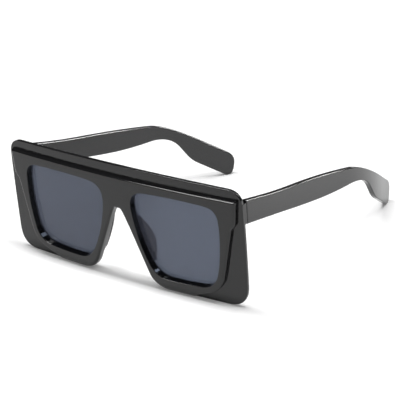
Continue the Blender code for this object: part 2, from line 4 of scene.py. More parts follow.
import bmesh
import bpy
import numpy as np
from mathutils import Matrix, Vector


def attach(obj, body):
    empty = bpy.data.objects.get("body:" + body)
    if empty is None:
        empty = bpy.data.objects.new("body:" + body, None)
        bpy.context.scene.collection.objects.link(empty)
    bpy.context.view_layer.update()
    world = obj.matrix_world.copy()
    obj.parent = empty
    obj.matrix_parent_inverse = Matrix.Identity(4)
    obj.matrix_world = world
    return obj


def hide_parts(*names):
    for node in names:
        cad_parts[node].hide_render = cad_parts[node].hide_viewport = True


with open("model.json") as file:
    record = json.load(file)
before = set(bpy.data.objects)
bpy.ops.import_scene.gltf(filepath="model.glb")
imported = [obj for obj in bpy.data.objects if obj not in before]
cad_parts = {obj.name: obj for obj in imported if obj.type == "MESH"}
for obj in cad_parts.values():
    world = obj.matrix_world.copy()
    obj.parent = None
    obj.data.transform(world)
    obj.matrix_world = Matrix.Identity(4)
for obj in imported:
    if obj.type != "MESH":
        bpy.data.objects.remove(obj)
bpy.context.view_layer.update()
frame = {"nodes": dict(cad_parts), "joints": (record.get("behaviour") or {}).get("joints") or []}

MM = 0.001
# Points closer than this are taken as one
TINY = 0.001 * MM
# Clearance between fitted pieces
GAP = 0.3 * MM

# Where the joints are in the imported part, and the middle of the front band's front face, worked out from them
PIVOT = {joint["child"]: joint["pos_m"] for joint in frame["joints"]}
BLOCK_BACK = 6.4 * MM
PIVOT_BACKWARD = 2.2 * MM
MIDDLE_X = (PIVOT["left_arm"][0] + PIVOT["right_arm"][0]) / 2
BAND_Y = PIVOT["left_arm"][1] - BLOCK_BACK - PIVOT_BACKWARD
HINGE_Z = PIVOT["left_arm"][2]

# The front is drawn flat and then bent about a vertical axis behind it
BEND_RADIUS = 1009.0 * MM
BEND_STRIP = 6.0 * MM
BASE_THICKNESS = 1.9 * MM
PLATE_HEIGHT = 2.5 * MM
FRONT_HALF_WIDTH = 73.8 * MM
FRONT_HEIGHT = 64.0 * MM
FRONT_CORNER_SHARES = (
    (0.0, 0.0, 0.0, 0.0008),
    (1.0, -0.0055, 0.1143, 0.0061),
    (1.0, -0.991, 0.147, 0.0),
    (0.27, -1.0, 0.115, 0.0014),
    (0.034, -0.3594, 0.1007, 0.0),
    (0.0, -0.3594, 0.0, 0.0),
)
STEP_CORNER_SHARES = (
    (0.0, -0.093, 0.0, 0.0),
    (0.9674, -0.0883, 0.0163, 0.0),
    (0.9537, -0.2844, 0.0231, 0.0),
    (0.9211, -0.3297, 0.0122, 0.0),
    (0.8299, -0.8656, 0.1102, 0.0),
    (0.517, -1.009, 0.0, 0.0),
)
STEP_SLANT = 0.95 * MM
STEP_FADE = 3.0 * MM
RIM_TOP = 11.3 * MM
RIM_BOTTOM = 7.4 * MM
RIM_SIDE = 13.6 * MM
HALF_BRIDGE = 8.5 * MM
LENS_WIDTH = FRONT_HALF_WIDTH - RIM_SIDE - HALF_BRIDGE
LENS_HEIGHT = FRONT_HEIGHT - RIM_TOP - RIM_BOTTOM
LENS_CORNER_SHARES = (
    (0.0, -0.0164, 0.1727, 0.0225),
    (1.0, 0.0, 0.1228, 0.047),
    (0.9347, -0.9607, 0.1497, 0.0182),
    (0.2553, -1.0, 0.1286, 0.0643),
)

# Softened edges of the front. The inset keeps the scene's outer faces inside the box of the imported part.
LOW_EDGE_RADIUS = 3.0 * MM
NOSE_EDGE_RADIUS = 1.2 * MM
BAND_EDGE_RADIUS = 0.35 * MM
STEP_EDGE_RADIUS = 0.5 * MM
STEP_SIDE_RADIUS = 1.5 * MM
OPENING_EDGE_RADIUS = 0.35 * MM
PLATE_ROOT = 1.0 * MM
INSET = 0.02 * MM

# Lenses, rims and nose pads
LENS_THICKNESS = 1.1 * MM
LENS_SETBACK = 3.45 * MM
LENS_FACE = LENS_SETBACK - PLATE_HEIGHT
LENS_REACH = 1.0 * MM
LENS_CHAMFER = 0.3 * MM
GROOVE_REACH = LENS_REACH + GAP
OPENING_FLARE = 0.1 * MM
LIP_FLARE = 0.6 * MM
BACK_FLARE = 1.9 * MM
RIM_REACH = 3.0 * MM
RIM_BACK = 3.7 * MM
PAD_TOP_SHARE = 0.3755
PAD_BOTTOM_SHARE = 0.8886
PAD_FOOT = 3.0 * MM
PAD_EDGE = 0.5 * MM
PAD_TIP = 1.3 * MM
PAD_DEPTH = 4.2 * MM
PAD_SPLAY = 2.4 * MM
PAD_TAPER = 1.8 * MM
PAD_END_SHARE = 0.22
PAD_NOSE_SHARE = 0.72
PAD_SECTIONS = 33
PAD_SMOOTHINGS = 2
CORNER_CUT_SHARE = 0.25

# Arms. Their long edges have the fullest rounding, so that each edge is one smooth curve.
ARM_THICKNESS = 3.0 * MM
ARM_EDGE_RADIUS = 0.55 * MM
ARM_STRIP = 2.0 * MM
ARM_LENGTH = 137.0 * MM
ARM_RISE = 57.8 * MM
ARM_TOP_SHARES = ((0.0, 1.0), (0.1796, 0.9048), (0.3839, 0.8374), (0.5591, 0.7586), (0.6905, 0.6859))
ARM_END_SHARES = ((1.0, 0.1955), (0.98, -0.0398), (0.8015, 0.2422), (0.708, 0.569))
ARM_END_ROUNDING_SHARES = (0.036, 0.05, 0.0336, 0.108)
FULL_ROUNDING_SHARE = 1
ARM_BOTTOM_SHARES = ((0.5007, 0.5796), (0.3255, 0.6384), (0.1504, 0.718), (0.0, 0.782))
ARM_STRAIGHT = 28.0 * MM
ARM_BOW_LENGTH = 62.0 * MM
ARM_BOW_ANGLE = math.radians(-3.56)
ARM_TURN_START = 76.2 * MM
ARM_TURN_END = 125.6 * MM
ARM_TURN_ANGLE = math.radians(23.8)
ARM_PLAN_STEPS = 640
ARM_ANGLE = {"left": math.radians(-4.9), "right": math.radians(18.3)}

# End blocks and hinge places
BLOCK_OUTER = FRONT_HALF_WIDTH + 0.1 * MM
BLOCK_WIDTH = 10.4 * MM
BLOCK_ROOT = 3.3 * MM
BLOCK_EDGE_RADIUS = 0.4 * MM
BLOCK_TOP_DROP = 0.9 * MM
BLOCK_BOTTOM_RISE = 0.8 * MM
PIVOT_INWARD = 4.7 * MM
ARM_END_TO_PIVOT = 1.45 * MM
BARREL_RADIUS = 1.4 * MM
KNUCKLE_HEIGHT = 2.0 * MM
LEAF_HEIGHT = 7.2 * MM
POCKET_DEPTH = 0.8 * MM
FRONT_LEAF_OUTER = 3.7 * MM
FRONT_LEAF_INNER = 9.2 * MM
ARM_LEAF_LENGTH = 10.0 * MM
ARM_LEAF_HEIGHT = 5.0 * MM

# Fineness of curves, and how faces are shaded across edges
CORNER_STEPS = 14
EDGE_STEPS = 10
FILLET_STEPS = 5
SMOOTH_ANGLE = math.radians(32.0)
FACE_WEIGHT = 100

# The photograph's camera, turned towards a point behind the middle of the front band and shifted a little
TARGET_BACK = 40.0 * MM
TARGET_UP = 25.0 * MM
AZIMUTH = math.radians(37.1187)
ELEVATION = math.radians(25.6651)
ROLL = math.radians(-4.3909)
DISTANCE = 773.98 * MM
PIXELS_PER_MM = 1.88551
SHIFT_RIGHT = 16.5734 * MM
SHIFT_UP = 1.9256 * MM
PICTURE_PIXELS = 400
SENSOR = 36.0
CLIP_START = 0.05
CLIP_END = 20

# Plastics: darkest and lightest colour, least and greatest roughness, and refractive index
FRAME_BLACK = ((0.004, 0.004, 0.0045), (0.006, 0.006, 0.0065), (0.07, 0.1), 1.45)
ARM_BLACK = ((0.012, 0.012, 0.0128), (0.015, 0.015, 0.0158), (0.09, 0.13), 1.52)
PAD_BLACK = ((0.01, 0.01, 0.0108), (0.013, 0.013, 0.0138), (0.1, 0.14), 1.46)
GRAIN_STRENGTH = 0.05
GRAIN_DEPTH = 0.02 * MM

# Metals: darkest and lightest colour, and least and greatest roughness
HINGE_STEEL = ((0.5, 0.5, 0.52), (0.58, 0.58, 0.6), (0.28, 0.36))
SCREW_STEEL = ((0.6, 0.6, 0.61), (0.68, 0.68, 0.69), (0.2, 0.28))

# Lens: body colours, gloss, colour of what is seen through it, and how dense it is from one x to another, which
# is painted shade
LENS_DARK = (0.066, 0.07, 0.093)
LENS_LIGHT = (0.074, 0.078, 0.103)
LENS_ROUGHNESS = (0.03, 0.06)
LENS_GLOSS = 0.15
LENS_TINT = (0.78, 0.846, 0.965, 1)
# Painted shade: the lens is made denser towards the wearer's right, standing in for the shadowed table seen
# through it
LENS_PAINTED_SHADE_ACROSS = (-30.0 * MM, 30.0 * MM)
LENS_DENSITY_AND_PAINTED_SHADE = (0.752, 0.698)

# White backdrop, and the strength of the room as light and as seen in a mirror
BACKDROP_STRENGTH = 1.0
ROOM_STRENGTH = 0.4
MIRRORED_STRENGTH = 0.1
WHITE = (1, 1, 1, 1)

# White table. The glow that the camera sees rises with the distance from the middle, as the lamps reach less
# far out. The glow that reflections see rises towards the far right: a painted reflection for the arms' sides.
TABLE_REACH = 3.0
TABLE_COLOUR = (0.95, 0.95, 0.95, 1)
TABLE_ROUGHNESS = 0.6
GLOW_LEAST = 0.08
SEEN_GLOW_MOST = 0.7
SEEN_GLOW_FROM = 0.3
SEEN_GLOW_TO = 1.0
MIRRORED_GLOW_MOST = 1.1
MIRRORED_GLOW_FROM = 0.08
MIRRORED_GLOW_TO = 0.2
MIRRORED_GLOW_WAY = (0.7, 0.7, 0)

# Lamps: place, width and height, and power in watts. The first three give highlights only, the softbox on the
# step below the band and the two others on the top edges of the left and of the right arm.
SOFTBOX = ((-0.382, -0.636, 0.735), (0.38, 0.2), 7.5)
REAR_SOFTBOX = ((0.307, 0.825, 0.513), (0.2, 0.1), 2.8)
EDGE_LIGHT = ((0.46, 0.5, 0.72), (0.3, 0.28), 17)
AIM = (MIDDLE_X, BAND_Y + 50.0 * MM, 30.0 * MM)
# A strip along the front and almost straight above it, for narrow shadows under the plates
TOP_LIGHT = ((0.0, BAND_Y + 26.0 * MM, 0.9), (0.9, 0.13), 8)
TOP_AIM = (0.0, BAND_Y, 0.0)


def sized(shares, width, height):
    """Corners given as shares: across, rounding and bulge follow the width, and up follows the height."""
    return [(across * width, up * height, turn * width, bulge * width) for across, up, turn, bulge in shares]


def rounded(corners, closed):
    """Points of an outline whose corners are rounded by quadratic curves and whose edges may bulge."""
    count = len(corners)
    last = count if closed else count - 1
    edges = []
    for index in range(last):
        start, end = corners[index], corners[(index + 1) % count]
        first, across = np.array(start[:2]), np.array(end[:2]) - np.array(start[:2])
        length = math.hypot(*across)
        trim = [min(start[2] / length, 0.5), 1 - min(end[2] / length, 0.5)]
        share = np.linspace(trim[0], trim[1], EDGE_STEPS if start[3] else 2)[:, None]
        outward = np.array([-across[1], across[0]]) / length
        edges.append(first + share * across + 4 * start[3] * share * (1 - share) * outward)
    points = []
    for index, edge in enumerate(edges):
        points.extend(edge)
        if not closed and index == last - 1:
            break
        corner = np.array(corners[(index + 1) % count][:2])
        after = edges[(index + 1) % last][0]
        for share in np.linspace(0, 1, CORNER_STEPS + 1)[1:-1]:
            points.append(edge[-1] * (1 - share) ** 2 + corner * 2 * share * (1 - share) + after * share**2)
    return clean(np.array(points), closed)


def clean(points, closed):
    """Leaves out points that lie on the one before."""
    kept = [points[0]]
    for point in points[1:]:
        if math.hypot(*(point - kept[-1])) > TINY:
            kept.append(point)
    if closed and math.hypot(*(kept[0] - kept[-1])) <= TINY:
        kept.pop()
    return np.array(kept)


def normals_of(points):
    """Outward direction at each point of a clockwise outline, longer at corners as a moved outline needs."""
    before = points - np.roll(points, 1, axis=0)
    after = np.roll(points, -1, axis=0) - points
    first = np.stack([-before[:, 1], before[:, 0]], axis=1) / np.linalg.norm(before, axis=1)[:, None]
    second = np.stack([-after[:, 1], after[:, 0]], axis=1) / np.linalg.norm(after, axis=1)[:, None]
    return (first + second) / (1 + (first * second).sum(axis=1)[:, None])


def grown(points, distance):
    """The clockwise outline moved outward by one distance, or by one for each point."""
    return points + np.reshape(distance, (-1, 1)) * normals_of(points)


def mirrored(points):
    other = points[::-1] * [-1, 1]
    return clean(np.concatenate([points, other]), True)


def upright(outline, depth):
    """Ring of a front outline at a depth, or one depth for each point, behind the band's front face."""
    depths = np.broadcast_to(depth, len(outline))
    return [(point[0], deep, point[1] + TOP) for point, deep in zip(outline, depths)]


def quarter():
    """Pairs (inset, advance) of a rounded edge of radius 1, from the face to the side."""
    angles = np.linspace(0, math.pi / 2, FILLET_STEPS + 1)
    return [(1 - math.sin(angle), 1 - math.cos(angle)) for angle in angles]


def turn_outward(data):
    bmesh.ops.recalc_face_normals(data, faces=data.faces)
    if data.calc_volume(signed=True) < 0:
        bmesh.ops.reverse_faces(data, faces=data.faces)


def lofted(*solids):
    """One object from closed solids, each given by rings that all have the same number of points."""
    data = bmesh.new()
    for loops in solids:
        rings = [[data.verts.new(point) for point in loop] for loop in loops]
        for lower, upper in zip(rings, rings[1:]):
            for index in range(len(lower)):
                after = (index + 1) % len(lower)
                data.faces.new([lower[index], lower[after], upper[after], upper[index]])
        data.faces.new(rings[0][::-1])
        data.faces.new(rings[-1])
    turn_outward(data)
    mesh = bpy.data.meshes.new("piece")
    data.to_mesh(mesh)
    data.free()
    obj = bpy.data.objects.new("piece", mesh)
    bpy.context.scene.collection.objects.link(obj)
    return obj


def box(low, high):
    corners = [(low[0], low[1]), (high[0], low[1]), (high[0], high[1]), (low[0], high[1])]
    return lofted([[(x, y, z) for x, y in corners] for z in (low[2], high[2])])


def combine(target, tool, operation):
    modifier = target.modifiers.new("combine", "BOOLEAN")
    modifier.solver = "EXACT"
    modifier.operation = operation
    modifier.object = tool
    graph = bpy.context.evaluated_depsgraph_get()
    result = bpy.data.meshes.new_from_object(target.evaluated_get(graph))
    target.modifiers.clear()
    target.data = result
    bpy.data.objects.remove(tool)


def reshape(obj, strip_axis, strip, place):
    """Cuts the faces into strips along an axis, then moves every point by the place function."""
    data = bmesh.new()
    data.from_mesh(obj.data)
    along = [vertex.co[strip_axis] for vertex in data.verts]
    normal = [0, 0, 0]
    normal[strip_axis] = 1
    for index in range(math.floor(min(along) / strip), math.ceil(max(along) / strip) + 1):
        middle = [0, 0, 0]
        middle[strip_axis] = index * strip
        geometry = data.verts[:] + data.edges[:] + data.faces[:]
        bmesh.ops.bisect_plane(data, geom=geometry, dist=TINY, plane_co=middle, plane_no=normal)
    bmesh.ops.remove_doubles(data, verts=data.verts, dist=TINY)
    bmesh.ops.triangulate(data, faces=data.faces, ngon_method="BEAUTY")
    for vertex in data.verts:
        vertex.co = place(vertex.co)
    turn_outward(data)
    data.to_mesh(obj.data)
    data.free()


def dress(obj, name, body, material, replaced):
    """Names and shades a piece, and puts it in the place of its CAD node."""
    obj.name = name
    obj.data.name = name
    obj.data.materials.clear()
    obj.data.materials.append(material)
    obj.data.shade_smooth()
    obj.data.set_sharp_from_angle(angle=SMOOTH_ANGLE)
    weighted = obj.modifiers.new("weighted", "WEIGHTED_NORMAL")
    weighted.keep_sharp = True
    weighted.weight = FACE_WEIGHT
    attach(obj, body)
    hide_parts(replaced)


def bent(point):
    """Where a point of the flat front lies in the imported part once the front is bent."""
    angle = point[0] / BEND_RADIUS
    reach = BEND_RADIUS - point[1]
    across = reach * math.sin(angle)
    back = BEND_RADIUS - reach * math.cos(angle)
    return Vector((MIDDLE_X + across, BAND_Y + back, point[2]))


def lens_outline(side):
    corners = sized(LENS_CORNER_SHARES, LENS_WIDTH, LENS_HEIGHT)
    points = rounded(corners, True) + [HALF_BRIDGE, -RIM_TOP]
    return points if side > 0 else points[::-1] * [-1, 1]


def front_outline():
    return mirrored(rounded(sized(FRONT_CORNER_SHARES, FRONT_HALF_WIDTH, FRONT_HEIGHT), False))


# Height of the outlines' zero line: the lowest point of the front stands on the table
TOP = -front_outline()[:, 1].min()


def plate_outline(share):
    """The step line and the room below it; share is 0 at the plate's face and 1 at the foot of the step."""
    corners = sized(STEP_CORNER_SHARES, FRONT_HALF_WIDTH, FRONT_HEIGHT)
    moved = [(across, up + STEP_SLANT * share, turn, bulge) for across, up, turn, bulge in corners[:2]]
    end = corners[-1]
    moved += corners[2:-1] + [(end[0] + STEP_FADE * share, *end[1:])]
    line = rounded(moved, False)
    return mirrored(np.concatenate([line, [(line[-1][0], -FRONT_HEIGHT - RIM_SIDE)]]))


def plate_rings():
    """Rings of the raised part inside the step line, with a softly rounded edge, wider at the sides."""
    sideways = normals_of(plate_outline(0))[:, 0] ** 2
    radii = STEP_EDGE_RADIUS + (STEP_SIDE_RADIUS - STEP_EDGE_RADIUS) * np.clip(sideways, 0, 1)
    loops = [upright(grown(plate_outline(0), -radii), -PLATE_HEIGHT - PLATE_ROOT)]
    for inset, advance in quarter():
        loop = grown(plate_outline(STEP_EDGE_RADIUS * advance / PLATE_HEIGHT), -radii * inset)
        loops.append(upright(loop, radii * advance - PLATE_HEIGHT))
    loops.append(upright(plate_outline(1), 0))
    loops.append(upright(plate_outline(1), PLATE_ROOT + GAP))
    return loops


def slab_rings(outline, radius, front, back):
    """Rings of a slab with rounded front and back edges."""
    loops = []
    for inset, advance in quarter():
        loops.append(upright(grown(outline, -radius * inset), front + radius * advance))
    for inset, advance in quarter()[::-1]:
        loops.append(upright(grown(outline, -radius * inset), back - radius * advance))
    return loops


def edge_radii(outline):
    """Rounding of the plates' outer edges: heavier along the bottom than beside the nose."""
    down = np.clip(-normals_of(outline)[:, 1], 0, 1) ** 2
    low = outline[:, 1] < -FRONT_HEIGHT / 2
    return NOSE_EDGE_RADIUS + (LOW_EDGE_RADIUS - NOSE_EDGE_RADIUS) * np.where(low, down, 0)


def raised_plates(outline):
    """The plates in front of the band: all that lies inside the step line, with softened outer edges."""
    radii = edge_radii(outline)
    loops = []
    for inset, advance in quarter():
        loops.append(upright(grown(outline, -radii * inset), radii * advance - PLATE_HEIGHT))
    loops.append(upright(outline, PLATE_ROOT))
    plates = lofted(loops)
    combine(plates, lofted(plate_rings()), "INTERSECT")
    return plates


def rim_rings(edge):
    """Rings of the rim that stands out behind the band round a lens."""
    rim = grown(edge, RIM_REACH)
    loops = [upright(rim, BASE_THICKNESS - BAND_EDGE_RADIUS)]
    for inset, advance in quarter()[::-1]:
        loop = grown(rim, -BAND_EDGE_RADIUS * inset)
        loops.append(upright(loop, RIM_BACK - BAND_EDGE_RADIUS * advance))
    return loops


def opening_rings(edge):
    """Rings of what is cut out round a lens: a flared opening, the lens groove and the wider room behind."""
    wide = OPENING_FLARE + OPENING_EDGE_RADIUS
    loops = [upright(grown(edge, wide), -PLATE_HEIGHT - PLATE_ROOT)]
    for inset, advance in quarter():
        reach = OPENING_FLARE + OPENING_EDGE_RADIUS * inset
        loops.append(upright(grown(edge, reach), OPENING_EDGE_RADIUS * advance - PLATE_HEIGHT))
    groove = grown(edge, GROOVE_REACH)
    groove_front, groove_back = LENS_FACE - GAP, LENS_FACE + LENS_THICKNESS + GAP
    loops.append(upright(edge, groove_front))
    loops.append(upright(groove, groove_front))
    loops.append(upright(groove, groove_back))
    loops.append(upright(grown(edge, LIP_FLARE), groove_back))
    back_edge = grown(edge, BACK_FLARE)
    for inset, advance in quarter()[::-1]:
        loop = grown(back_edge, OPENING_EDGE_RADIUS * inset)
        loops.append(upright(loop, RIM_BACK - OPENING_EDGE_RADIUS * advance))
    loops.append(upright(grown(back_edge, OPENING_EDGE_RADIUS), RIM_BACK + PLATE_ROOT))
    return loops


def block_rings(side):
    """Rings of an end block, from inside the front to its rounded rear face."""
    half = (ARM_TOP_SHARES[0][1] - ARM_BOTTOM_SHARES[-1][1]) * ARM_RISE / 2
    low, high = HINGE_Z - half + BLOCK_BOTTOM_RISE, HINGE_Z + half - BLOCK_TOP_DROP
    levels = [(BLOCK_ROOT, 0)]
    for inset, advance in quarter()[::-1]:
        levels.append((BLOCK_BACK - BLOCK_EDGE_RADIUS * advance, BLOCK_EDGE_RADIUS * inset))
    loops = []
    for depth, inset in levels:
        near, far = BLOCK_OUTER - BLOCK_WIDTH + inset, BLOCK_OUTER - inset
        ring = ((near, low + inset), (far, low + inset), (far, high - inset), (near, high - inset))
        loops.append([(MIDDLE_X + side * x, BAND_Y + depth, z) for x, z in ring])
    return loops


def block_pocket(side):
    """Room for the hinge leaf in the rear face of an end block."""
    outer, inner = BLOCK_OUTER - FRONT_LEAF_OUTER + GAP, BLOCK_OUTER - FRONT_LEAF_INNER - GAP
    left, right = sorted((side * outer, side * inner))
    half = LEAF_HEIGHT / 2 + GAP
    low = (MIDDLE_X + left, BAND_Y + BLOCK_BACK - POCKET_DEPTH, HINGE_Z - half)
    high = (MIDDLE_X + right, BAND_Y + BLOCK_BACK + GAP, HINGE_Z + half)
    return box(low, high)


def build_front(material):
    outline = front_outline()
    front = lofted(slab_rings(grown(outline, -INSET), BAND_EDGE_RADIUS, 0, BASE_THICKNESS))
    combine(front, raised_plates(outline), "UNION")
    edges = [lens_outline(side) for side in (1, -1)]
    combine(front, lofted(*[rim_rings(edge) for edge in edges]), "UNION")
    combine(front, lofted(*[opening_rings(edge) for edge in edges]), "DIFFERENCE")
    reshape(front, 0, BEND_STRIP, bent)
    combine(front, lofted(*[block_rings(side) for side in (1, -1)]), "UNION")
    for side in (1, -1):
        combine(front, block_pocket(side), "DIFFERENCE")
    dress(front, "front", "front", material, "front_frame")
    return front


def build_lens(word, side, material):
    edge = grown(lens_outline(side), LENS_REACH)
    lens = lofted(slab_rings(edge, LENS_CHAMFER, LENS_FACE, LENS_FACE + LENS_THICKNESS))
    reshape(lens, 0, BEND_STRIP, bent)
    dress(lens, "lens_glass_" + word, "front", material, "lens_" + word)
    return lens


def nasal_edge(outline, up):
    """How far from the middle the nose side of the lens opening lies at a height."""
    following = np.roll(outline, -1, axis=0)
    found = []
    for (x0, z0), (x1, z1) in zip(outline, following):
        if min(z0, z1) <= up < max(z0, z1):
            found.append(x0 + (x1 - x0) * (up - z0) / (z1 - z0))
    return min(found)


def softened(section, times):
    """A closed section with its corners cut again and again, so that it turns into a smooth curve."""
    points = np.array(section)
    for _ in range(times):
        after = np.roll(points, -1, axis=0)
        near = points + CORNER_CUT_SHARE * (after - points)
        far = after + CORNER_CUT_SHARE * (points - after)
        points = np.stack([near, far], axis=1).reshape(-1, 2)
    return points


def build_pad(word, side, material):
    """A bonded nose pad: a smooth ridge behind the nose side of the rim that leans towards the eye."""
    outline = lens_outline(1)
    foot = RIM_BACK + GAP
    loops = []
    for index in range(PAD_SECTIONS):
        share = index / (PAD_SECTIONS - 1)
        up = -RIM_TOP - LENS_HEIGHT * (PAD_TOP_SHARE + (PAD_BOTTOM_SHARE - PAD_TOP_SHARE) * share)
        swell = PAD_END_SHARE + (1 - PAD_END_SHARE) * math.sin(math.pi * share)
        foot_edge = nasal_edge(outline, up) - PAD_EDGE
        nose, eye = foot_edge - PAD_FOOT, foot_edge - PAD_TAPER * (1 - swell)
        depth, lean = PAD_DEPTH * swell, PAD_SPLAY * swell
        section = [(nose, foot), (eye, foot), (eye + lean, foot + depth * PAD_NOSE_SHARE)]
        section.append((eye + lean - PAD_TIP * (1 - PAD_NOSE_SHARE), foot + depth))
        section.append((eye + lean - PAD_TIP, foot + depth))
        section.append((nose + lean * PAD_NOSE_SHARE, foot + depth * PAD_NOSE_SHARE))
        loops.append([(side * x, max(y, foot), up + TOP) for x, y in softened(section, PAD_SMOOTHINGS)])
    pad = lofted(loops)
    reshape(pad, 0, BEND_STRIP, bent)
    dress(pad, "pad_" + word, "front", material, "nose_pad_" + word)
    return pad


def arm_outline():
    corners = [(*point, FULL_ROUNDING_SHARE, 0) for point in ARM_TOP_SHARES]
    corners += [(*point, turn, 0) for point, turn in zip(ARM_END_SHARES, ARM_END_ROUNDING_SHARES)]
    corners += [(*point, FULL_ROUNDING_SHARE, 0) for point in ARM_BOTTOM_SHARES]
    first, last = corners[0], corners[-1]
    corners[0], corners[-1] = (*first[:2], 0, 0), (*last[:2], 0, 0)
    return rounded(sized(corners, ARM_LENGTH, ARM_RISE), False)


def arm_plan():
    """Distances along the arm, and the place and direction of its outer face at each: a bow, then a turn."""
    along = np.linspace(0, ARM_LENGTH, ARM_PLAN_STEPS)
    ramp = np.clip((along - ARM_TURN_START) / (ARM_TURN_END - ARM_TURN_START), 0, 1)
    bow = np.clip(along - ARM_STRAIGHT, 0, None) / ARM_BOW_LENGTH
    heading = ARM_BOW_ANGLE * bow + ARM_TURN_ANGLE * ramp**2 * (3 - 2 * ramp)
    step = along[1] - along[0]
    inward = np.concatenate([[0], np.cumsum(np.sin(heading[1:]) + np.sin(heading[:-1])) / 2 * step])
    backward = np.concatenate([[0], np.cumsum(np.cos(heading[1:]) + np.cos(heading[:-1])) / 2 * step])
    return along, inward, backward, heading


def arm_placer(word, side):
    """Moves a point of the straight arm (inward, along, up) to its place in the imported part."""
    along, inward, backward, heading = arm_plan()
    pivot = PIVOT[word + "_arm"]
    swing = Matrix.Translation((pivot[0], pivot[1], 0)) @ Matrix.Rotation(side * ARM_ANGLE[word], 4, "Z")

    def place(point):
        turn = np.interp(point[1], along, heading)
        across = np.interp(point[1], along, inward) + point[0] * math.cos(turn)
        back = np.interp(point[1], along, backward) - point[0] * math.sin(turn)
        return swing @ Vector((side * (PIVOT_INWARD - across), back - ARM_END_TO_PIVOT, point[2]))

    return place


def arm_rings():
    """Rings of the straight arm, from its outer to its inner face, as (inward, along, up)."""
    outline = arm_outline()
    outline = outline - [0, outline[:, 1].min()]
    loops = []
    for inset, advance in quarter():
        loop = grown(outline, -ARM_EDGE_RADIUS * inset)
        loops.append([(INSET + ARM_EDGE_RADIUS * advance, along, up) for along, up in loop])
    for inset, advance in quarter()[::-1]:
        loop = grown(outline, -ARM_EDGE_RADIUS * inset)
        loops.append([(ARM_THICKNESS - ARM_EDGE_RADIUS * advance, along, up) for along, up in loop])
    return loops


def arm_pocket(start, end, half_height):
    """Room for a stretch of the hinge in the arm's inner face, with a gap above and below it."""
    low = (ARM_THICKNESS - POCKET_DEPTH, start, HINGE_Z - half_height - GAP)
    high = (ARM_THICKNESS + ARM_EDGE_RADIUS, end, HINGE_Z + half_height + GAP)
    return box(low, high)


def build_arm(word, side, material):
    arm = lofted(arm_rings())
    leaf_start = ARM_END_TO_PIVOT + BARREL_RADIUS + GAP
    leaf_end = leaf_start + ARM_LEAF_LENGTH
    combine(arm, arm_pocket(leaf_start - GAP, leaf_end + GAP, ARM_LEAF_HEIGHT / 2), "DIFFERENCE")
    combine(arm, arm_pocket(-ARM_EDGE_RADIUS, leaf_start, KNUCKLE_HEIGHT / 2), "DIFFERENCE")
    reshape(arm, 1, ARM_STRIP, arm_placer(word, side))
    dress(arm, "arm_" + word, word + "_arm", material, "temple_" + word)
    return arm


def nodes_of(material):
    material.use_nodes = True
    tree = material.node_tree
    tree.nodes.clear()
    out = tree.nodes.new("ShaderNodeOutputMaterial")
    shader = tree.nodes.new("ShaderNodeBsdfPrincipled")
    tree.links.new(shader.outputs[0], out.inputs["Surface"])
    return tree, shader


def spread(tree, source, from_range, to_range):
    """Maps a value from one range to another, and returns the socket with the result."""
    node = tree.nodes.new("ShaderNodeMapRange")
    values = (*from_range, *to_range)
    for socket, value in zip(("From Min", "From Max", "To Min", "To Max"), values):
        node.inputs[socket].default_value = value
    tree.links.new(source, node.inputs["Value"])
    return node.outputs["Result"]


def noise(tree, scale, detail):
    """A noise texture in the object's own coordinates."""
    where = tree.nodes.new("ShaderNodeTexCoord")
    texture = tree.nodes.new("ShaderNodeTexNoise")
    texture.inputs["Scale"].default_value = scale
    texture.inputs["Detail"].default_value = detail
    tree.links.new(where.outputs["Object"], texture.inputs["Vector"])
    return texture.outputs["Fac"]


def mottled(tree, shader, dark, light, scale, detail):
    """Base colour that wanders between two colours."""
    mix = tree.nodes.new("ShaderNodeMix")
    mix.data_type = "RGBA"
    mix.inputs["A"].default_value = (*dark, 1)
    mix.inputs["B"].default_value = (*light, 1)
    shade = spread(tree, noise(tree, scale, detail), (0, 1), (0, 1))
    tree.links.new(shade, mix.inputs["Factor"])
    tree.links.new(mix.outputs["Result"], shader.inputs["Base Color"])


def uneven(tree, shader, roughness, scale, detail):
    """Roughness that wanders between two values."""
    rough = spread(tree, noise(tree, scale, detail), (0, 1), roughness)
    tree.links.new(rough, shader.inputs["Roughness"])


def plastic(name, dark, light, roughness, ior):
    """Glossy moulded plastic with a very fine grain."""
    material = bpy.data.materials.new(name)
    tree, shader = nodes_of(material)
    mottled(tree, shader, dark, light, scale=60, detail=3)
    uneven(tree, shader, roughness, scale=35, detail=4)
    bumps = tree.nodes.new("ShaderNodeBump")
    bumps.inputs["Strength"].default_value = GRAIN_STRENGTH
    bumps.inputs["Distance"].default_value = GRAIN_DEPTH
    tree.links.new(noise(tree, scale=900, detail=2), bumps.inputs["Height"])
    tree.links.new(bumps.outputs["Normal"], shader.inputs["Normal"])
    shader.inputs["IOR"].default_value = ior
    return material


def metal(name, dark, light, roughness):
    material = bpy.data.materials.new(name)
    tree, shader = nodes_of(material)
    mottled(tree, shader, dark, light, scale=300, detail=4)
    uneven(tree, shader, roughness, scale=500, detail=3)
    shader.inputs["Metallic"].default_value = 1
    return material


